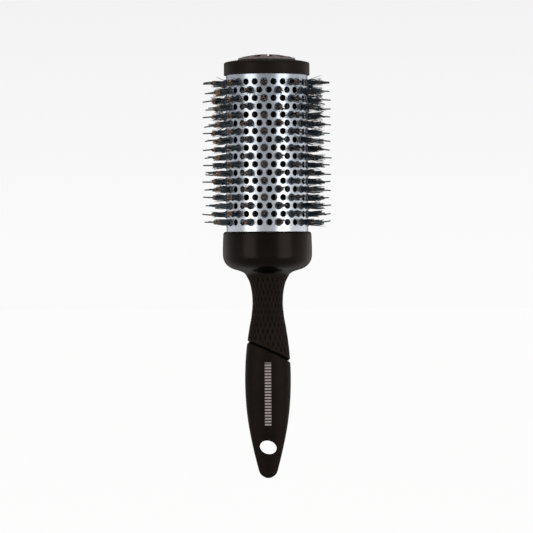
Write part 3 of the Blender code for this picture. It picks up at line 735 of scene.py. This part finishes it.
def strip_hairs(random, angle, heights):
    """The nylon, boar and pin hairs of a strip, each as roots, bends and tips.

    The tufts lean towards the middle, and the ones near the cap are the most tousled.
    """
    kinds = {"nylon": [], "boar": [], "pins": []}
    for height in heights:
        share = smooth_step(height, TOUSLED_FROM, TOP_ROW_HEIGHT) * (1 + SIDE_TOUSLE * math.sin(angle))
        tousle = 1 + TOUSLE * share
        lean = random.normal(0, TUFT_STRAY * tousle, 2)
        lean[1] -= LEAN * (height - LEAN_HEIGHT)
        boar = round(random.integers(*BOAR_HAIRS) * np.clip(1 - math.sin(angle), *BOAR_SHARES))
        pins = 2 if random.random() < SECOND_PIN else 1
        for kind, count, rules, share in (
            ("nylon", NYLON_HAIRS, NYLON_RULES, SHARED_LEAN),
            ("boar", boar, BOAR_RULES, SHARED_LEAN),
            ("pins", pins, PIN_RULES, 1.0),
        ):
            kinds[kind].append(fan(random, count, rules, angle, height, lean * share, tousle))
    return {kind: [np.concatenate(part) for part in zip(*tufts)] for kind, tufts in kinds.items()}


def build_strip(index, base_material, nylon, boar):
    node = f"bristle_strip_{index + 1:02d}"
    random = np.random.default_rng(SEED + index)
    angle = FIRST_TUFT_ANGLE + index * STRIP_STEP
    rows = range(index % 2, HOLE_ROWS, 2)
    heights = [TOP_ROW_HEIGHT - row * ROW_PITCH for row in rows]
    low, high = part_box(node)

    parts = [strip_bar(angle, low.z, high.z)] + [boss(angle, height) for height in heights]
    base_name = f"strip_{index + 1:02d}_base"
    base = new_object(base_name, mesh_from(base_name, *joined(parts)), base_material)
    stand_for(base, "bristle_nylon", node)

    hairs = strip_hairs(random, angle, heights)
    nylon_name = f"strip_{index + 1:02d}_nylon"
    filaments = hair_mesh(nylon_name, *hairs["nylon"], *NYLON_SHAPE)
    pins = hair_mesh("pins", *hairs["pins"], *PIN_SHAPE)
    bm = bmesh.new()
    bm.from_mesh(filaments)
    bm.from_mesh(pins)
    bm.to_mesh(filaments)
    bm.free()
    bpy.data.meshes.remove(pins)
    stand_for(new_object(nylon_name, filaments, nylon, 70), "bristle_nylon", node)

    boar_name = f"strip_{index + 1:02d}_boar"
    bristles = hair_mesh(boar_name, *hairs["boar"], *BOAR_SHAPE)
    stand_for(new_object(boar_name, bristles, boar, 70), "bristle_nylon", node)


# Handle

def smooth_curve(points, heights):
    """Values at some heights on the smooth curve through (height, value) points."""
    z, v = np.array(points, float).T
    steps = np.diff(v) / np.diff(z)
    inner = (steps[:-1] * np.diff(z)[1:] + steps[1:] * np.diff(z)[:-1]) / (z[2:] - z[:-2])
    slopes = np.concatenate((steps[:1], inner, steps[-1:]))
    i = np.clip(np.searchsorted(z, heights, side="right") - 1, 0, len(z) - 2)
    span = z[i + 1] - z[i]
    t = (heights - z[i]) / span
    start = v[i] * (2 * t**3 - 3 * t**2 + 1) + span * slopes[i] * (t**3 - 2 * t**2 + t)
    end = v[i + 1] * (3 * t**2 - 2 * t**3) + span * slopes[i + 1] * (t**3 - t**2)
    return start + end


def half_sizes(height):
    """Half the handle's width and depth at some heights, rounded off at its tip."""
    share = np.clip(height / TIP_ROUNDING, 0, 1)
    rounding = np.sqrt(1 - (1 - share) ** 2)
    width = smooth_curve(HALF_WIDTH_POINTS, height / MM) * MM * rounding
    depth = smooth_curve(HALF_DEPTH_POINTS, height / MM) * MM * rounding
    return width, depth


def handle_points(angle, height, inset=0.0):
    """Points on the handle's elliptic sections, moved inwards along the section's normal."""
    width, depth = half_sizes(height)
    normal_x = np.cos(angle) * depth
    normal_y = np.sin(angle) * width
    length = np.hypot(normal_x, normal_y)
    x = width * np.cos(angle) - inset * normal_x / length
    y = depth * np.sin(angle) - inset * normal_y / length
    return np.stack((x, y, np.broadcast_to(height, x.shape)), -1)


def groove_edge(angle, side):
    """The height of the groove's upper (side 1) or lower (side -1) edge round the handle."""
    height = np.full_like(angle, GROOVE_HEIGHT)
    for _ in range(GROOVE_ROUNDS):
        x, y, _ = handle_points(angle, height).T
        across = side * GROOVE_WIDTH / 2 * GROOVE_TILT
        height = GROOVE_HEIGHT + GROOVE_SLOPE_X * x + GROOVE_SLOPE_Y * y + across
    return height


def rounded_edge(distance, radius):
    """How far the surface falls back near an edge that is rounded with that radius."""
    inner = np.clip(radius - distance, 0, radius)
    return radius - np.sqrt(radius**2 - inner**2)


def net_relief(angle, height):
    """From 0 on the ribs of the net to 1 in the middle of its diamonds."""
    turn = angle / math.tau * NET_COLUMNS
    rise = height / NET_HEIGHT
    to_rib = [np.abs((value + 0.5) % 1 - 0.5) for value in (turn + rise, turn - rise)]
    return smooth_step(np.minimum(*to_rib), *NET_SLOPE)


def build_grip_sleeve(material):
    """The rubber sleeve: a net of ribs, a smooth band along the groove and a flared top."""
    columns = SLEEVE_COLUMNS
    edge_steps = np.array((0, 0.06, 0.16, 0.3, 0.5)) * MM
    angle = np.linspace(0, math.tau, columns, endpoint=False)
    low = groove_edge(angle, 1)
    body = np.linspace(0, 1, SLEEVE_ROWS)[:, None]
    start = low + edge_steps[-1]
    heights = np.concatenate((low + edge_steps[:-1, None], start + body * (HANDLE_TOP - start)))
    from_edge = (heights - low) / GROOVE_TILT
    relief = net_relief(angle, heights) * smooth_step(from_edge, NET_BAND, NET_BAND + NET_FADE)
    relief = relief * smooth_step(HANDLE_TOP - heights, *NET_TOP_FADE)
    inset = relief * NET_DEPTH + rounded_edge(from_edge, SLEEVE_EDGE_ROUNDING)
    outer = handle_points(angle, heights, inset)
    inner_body = np.linspace(1, 0, INNER_ROWS)[:, None]
    inner = handle_points(angle, low + inner_body * (HANDLE_TOP - low), GRIP_WALL)
    points = np.concatenate((outer, inner))
    faces = wrapped_faces(len(points), columns, closed=True)
    mesh = mesh_from("net_grip_sleeve", points, faces)
    values = np.concatenate((relief.ravel(), np.zeros(INNER_ROWS * columns)))
    mesh.attributes.new("relief", "FLOAT", "POINT").data.foreach_set("value", values)
    stand_for(new_object("net_grip_sleeve", mesh, material, 50), "soft_grip", "grip_sleeve")


def hang_hole_frame():
    """Unit vectors in the (x, z) plane along the hole's long and short axes."""
    c, s = math.cos(HANG_HOLE_TILT), math.sin(HANG_HOLE_TILT)
    return np.array((c, -s)), np.array((s, c))


def with_hole_lip(points):
    """Rounds the grip's faces into the hang hole."""
    long_axis, short_axis = hang_hole_frame()
    flat = points[..., (0, 2)] - np.array((0, HANG_HOLE_HEIGHT))
    u, v = flat @ long_axis, flat @ short_axis
    share = np.hypot(u / HANG_HOLE_HALF_LENGTH, v / HANG_HOLE_HALF_WIDTH)
    distance = np.hypot(u, v) * (1 - 1 / np.maximum(share, 0.01))
    drop = rounded_edge(np.clip(distance, 0, None), HANG_HOLE_LIP)
    y = points[..., 1]
    moved = points.copy()
    moved[..., 1] = y - np.sign(y) * np.minimum(drop, np.abs(y) * LIP_SHARE)
    return moved


def hang_hole_cutter():
    """An elliptic rod along Y."""
    steps = 96
    turn = np.linspace(0, math.tau, steps, endpoint=False)
    long_axis, short_axis = hang_hole_frame()
    flat = HANG_HOLE_HALF_LENGTH * np.cos(turn)[:, None] * long_axis
    flat = flat + HANG_HOLE_HALF_WIDTH * np.sin(turn)[:, None] * short_axis
    reach = 15 * MM
    rings = [
        np.stack((flat[:, 0], np.full(steps, y), flat[:, 1] + HANG_HOLE_HEIGHT), -1)
        for y in (reach, -reach)
    ]
    mesh = mesh_from("hang_hole", np.stack(rings), wrapped_faces(2, steps) + end_faces(2, steps))
    bm = bmesh.new()
    bm.from_mesh(mesh)
    bmesh.ops.recalc_face_normals(bm, faces=bm.faces)
    bm.to_mesh(mesh)
    bm.free()
    return mesh


def build_lower_grip(material):
    """The smooth grip: rounded tip, hang hole with a rounded lip, rounded upper edge."""
    columns = GRIP_COLUMNS
    angle = np.linspace(0, math.tau, columns, endpoint=False)
    top = groove_edge(angle, -1)
    tip = TIP_ROUNDING * (1 - np.cos(np.radians(np.linspace(4, 90, 16))))
    tail = np.linspace(TIP_ROUNDING, TAIL_TOP, 72)[1:]
    level = np.concatenate((tip, tail))[:, None] + 0 * angle
    edge_steps = np.array((0.95, 0.7, 0.48, 0.3, 0.16, 0.06, 0)) * MM
    last = top - edge_steps[0]
    body = np.linspace(0, 1, 76)[1:, None]
    slanted = TAIL_TOP + body * (last - TAIL_TOP)
    edge = top - edge_steps[1:, None]
    heights = np.concatenate((level, slanted, edge))
    from_edge = (top - heights) / GROOVE_TILT
    outer = handle_points(angle, heights, rounded_edge(from_edge, GRIP_EDGE_ROUNDING))
    pocket = [top * t + POCKET_BOTTOM * (1 - t) for t in (1.0, 0.5, 0.0)]
    inner = [handle_points(angle, height, GRIP_WALL) for height in pocket]
    points = np.concatenate((with_hole_lip(outer), np.stack(inner)))
    points[0, :, 2] = 0  # the tip's small flat end stands on the ground
    faces = wrapped_faces(len(points), columns) + end_faces(len(points), columns)
    grip = new_object("smooth_lower_grip", mesh_from("smooth_lower_grip", points, faces), material)
    cut(grip, hang_hole_cutter())
    stand_for(grip, "soft_touch_plastic", "lower_grip")


# Collar, end cap and vent disc

def build_collar(material):
    """The bell-shaped cup, hollow, with a step for the lower seat."""
    outline = bezier((12.85, 120.2), (14.2, 122.2), (17.5, 122.6), (20.3, 123.6), 14)
    outline += bezier((20.3, 123.6), (24.2, 125.2), (26.34, 128.0), (26.34, 132.3), 20)[1:]
    outline += [(26.35, 136.0), (26.2, 140.0), (26.08, 143.2)]
    outline += bezier((26.05, 143.6), (26.0, 144.7), (25.7, 145.3), (25.0, 145.5), 8)
    outline += [(24.7, 145.5), (24.5, 145.3), (24.5, 138.0), (23.6, 138.0)]
    outline += bezier((23.6, 133.0), (23.6, 127.5), (21.0, 125.6), (15.0, 124.6), 12)
    outline += [(6.4, 123.4), (6.4, 120.2)]
    collar = new_object("bell_collar", mesh_from("bell_collar", *turned(outline)), material)
    stand_for(collar, "hard_plastic", "collar")


def build_end_cap(material):
    """The drum over the barrel's end, with a soft shoulder and a low dome."""
    outline = [(25.05, 237.8), (25.22, 237.86), (25.3, 238.05), (25.3, 244.2)]
    outline += bezier((25.3, 244.3), (25.3, 245.0), (25.0, 245.3), (24.4, 245.5), 8)
    outline += bezier((24.4, 245.5), (22.4, 246.05), (20.0, 246.45), (17.4, 246.65), 12)[1:]
    outline += [(16.1, 246.7), (15.9, 246.55), (15.9, 245.2)]
    outline += [(22.5, 243.9), (24.5, 242.9), (24.5, 237.8)]
    cap = new_object("drum_end_cap", mesh_from("drum_end_cap", *turned(outline)), material)
    stand_for(cap, "hard_plastic", "end_cap")


def slot_cutters(outer, width, low):
    """Upright rods with a rounded oblong section, one for each slot."""
    half = width / 2
    ends = np.linspace(-math.pi / 2, math.pi / 2, 13)
    outer_end = np.stack((outer - half + half * np.cos(ends), half * np.sin(ends)), -1)
    inner_end = np.stack((SLOT_INNER + half - half * np.cos(ends), -half * np.sin(ends)), -1)
    distance, side = np.concatenate((outer_end, inner_end)).T
    parts = []
    for i in range(VENT_SLOTS):
        turn = math.tau * (i + SLOT_TURN) / VENT_SLOTS
        x = distance * math.sin(turn) + side * math.cos(turn)
        y = -distance * math.cos(turn) + side * math.sin(turn)
        rings = [np.stack((x, y, np.full_like(x, z)), -1) for z in (low, CUT_TOP)]
        parts.append((np.stack(rings), wrapped_faces(2, len(x)) + end_faces(2, len(x))))
    return mesh_from("slots", *joined(parts))


def coin_slot_cutter():
    bm = bmesh.new()
    size = Matrix.Diagonal((COIN_SLOT_WIDTH, 50 * MM, 4 * MM, 1))
    place = Matrix.Translation((COIN_SLOT_PLACE, 0, COIN_SLOT_FLOOR + 2 * MM))
    bmesh.ops.create_cube(bm, size=1, matrix=place @ size)
    mesh = bpy.data.meshes.new("coin_slot")
    bm.to_mesh(mesh)
    bm.free()
    return mesh


def build_vent_disc(material):
    """The domed disc: a hub with a coin slot, twelve fins with open slots between, a plain rim."""
    outline = [(0.4, 248.3), (9.0, 248.0), (14.0, 247.0), (14.2, 245.4), (15.6, 245.4)]
    outline += [(15.6, 246.85), (16.9, 246.85)]
    outline += bezier((16.95, 247.0), (17.1, 247.6), (16.9, 247.95), (16.3, 248.1), 6)
    outline += [(14.8, 248.2), (14.62, 248.3), (14.55, 248.6)]
    outline += bezier((14.5, 248.65), (14.3, 248.75), (13.5, 248.85), (12.5, 248.98), 6)
    outline += bezier((12.5, 248.98), (11.0, 249.25), (9.3, 249.65), (6.6, 249.97), 8)[1:]
    outline += [(6.3, 250.0), (3.0, 250.0), (0.4, 250.0)]
    disc = new_object("domed_vent_disc", mesh_from("disc", *turned(outline, closed=False)), material)
    cut(disc, slot_cutters(CHANNEL_OUTER, SLOT_WIDTH, CHANNEL_FLOOR))
    cut(disc, slot_cutters(SLOT_OUTER, SLOT_WIDTH - SLOT_PLAY, CUT_BOTTOM))
    cut(disc, coin_slot_cutter())
    stand_for(disc, "vent_disc_plastic", "cap_vent_disc")


# Studio

def area_light(name, azimuth, height, distance, size, power):
    """A soft box that looks at the axis. Azimuth counts from the camera towards +X."""
    light = bpy.data.lights.new(name, "AREA")
    light.shape = "RECTANGLE"
    light.size, light.size_y = size
    light.energy = power
    light.color = LAMP_COLOUR
    lamp = bpy.data.objects.new(name, light)
    place = Vector(place_round(math.radians(azimuth), height, distance))
    lamp.location = place
    lamp.rotation_euler = (Vector((0, 0, VIEW_HEIGHT)) - place).to_track_quat("-Z", "Y").to_euler()
    bpy.context.scene.collection.objects.link(lamp)


def background(world, colour, strength):
    return add_node(world, "ShaderNodeBackground", {"Color": colour, "Strength": strength}).outputs[0]


def build_world():
    """Plain near-white to the camera, and a dim room with brighter sides to everything else."""
    world = bpy.data.worlds.new("studio")
    bpy.context.scene.world = world
    world.use_nodes = True
    world.node_tree.nodes.clear()
    direction = add_node(world, "ShaderNodeTexCoord").outputs["Generated"]
    across, away, up = add_node(world, "ShaderNodeSeparateXYZ", {0: direction}).outputs
    directions = {"across": across, "away": away, "up": up}
    strength = spread(world, away, -0.1, 0.6, 0.48, 0.60)
    for name, *ends in ROOM_LIGHT:
        strength = maths(world, "MULTIPLY", strength, spread(world, directions[name], *ends))
    room = background(world, (1.0, 0.95, 0.92, 1.0), strength)
    seen = background(world, (1.0, 1.0, 1.0, 1.0), spread(world, up, 0.0, 0.07, 0.965, 0.895))
    camera_ray = add_node(world, "ShaderNodeLightPath").outputs["Is Camera Ray"]
    mix = add_node(world, "ShaderNodeMixShader", {0: camera_ray, 1: room, 2: seen})
    add_node(world, "ShaderNodeOutputWorld", {"Surface": mix.outputs[0]})


def build_floor():
    """A wide pale floor that gives off most of its own light, so that shadows stay faint."""
    material = new_material("pale_floor", Roughness=0.9, Specular_IOR_Level=0.1)
    cloud = spread(material, noise(material, 4.0), 0.3, 0.7)
    grey = blend_colours(material, cloud, (0.05, 0.05, 0.05), (0.055, 0.055, 0.055))
    drive(material, "Base Color", grey)
    shader = material.node_tree.nodes["Principled BSDF"]
    shader.inputs["Emission Color"].default_value = (1.0, 1.0, 1.0, 1.0)
    shader.inputs["Emission Strength"].default_value = FLOOR_GLOW
    bm = bmesh.new()
    bmesh.ops.create_circle(bm, cap_ends=True, segments=128, radius=FLOOR_RADIUS)
    bmesh.ops.translate(bm, verts=bm.verts, vec=(0, 0, FLOOR_HEIGHT))
    mesh = bpy.data.meshes.new("floor")
    bm.to_mesh(mesh)
    bm.free()
    floor = new_object("floor", mesh, material)
    floor.visible_diffuse = False
    floor.visible_glossy = False


def build_camera():
    """A level camera in front of the brush, with a long lens."""
    data = bpy.data.cameras.new("camera")
    data.sensor_width = SENSOR_WIDTH
    data.lens = SENSOR_WIDTH * CAMERA_DISTANCE / VIEW_WIDTH
    data.clip_end = 100.0
    camera = bpy.data.objects.new("camera", data)
    camera.location = (CAMERA_OFFSET, -CAMERA_DISTANCE, VIEW_HEIGHT)
    camera.rotation_euler = (math.radians(90), CAMERA_ROLL, 0)
    bpy.context.scene.collection.objects.link(camera)
    bpy.context.scene.camera = camera


def build_studio():
    bpy.context.scene.view_settings.view_transform = "Standard"
    build_camera()
    build_world()
    build_floor()
    for name, settings in SOFT_BOXES.items():
        area_light(name, *settings)


# The brush

def keep_cad(material, *nodes):
    """CAD nodes that keep their shape and get a material of their own."""
    for name in nodes:
        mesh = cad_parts[name].data
        mesh.materials.clear()
        mesh.materials.append(material)


build_barrel(aluminium_material())
strip_materials = (strip_material(), nylon_material(), boar_material())
for strip in range(STRIPS):
    build_strip(strip, *strip_materials)
build_grip_sleeve(sleeve_material())
build_lower_grip(grip_material())
build_collar(collar_material())
build_end_cap(cap_material())
build_vent_disc(disc_material())
keep_cad(dark_plastic("core_plastic", 0.0015, 0.0025, 0.6, 0.03), "handle_core")
keep_cad(dark_plastic("tube_plastic", 0.0015, 0.003, 0.5, 0.05), "strip_tube")
keep_cad(dark_plastic("seat_plastic", 0.012, 0.018, 0.5), "lower_seat_ring", "upper_seat_ring")
keep_cad(steel_material(), "cap_screw", "screw_washer")
build_studio()
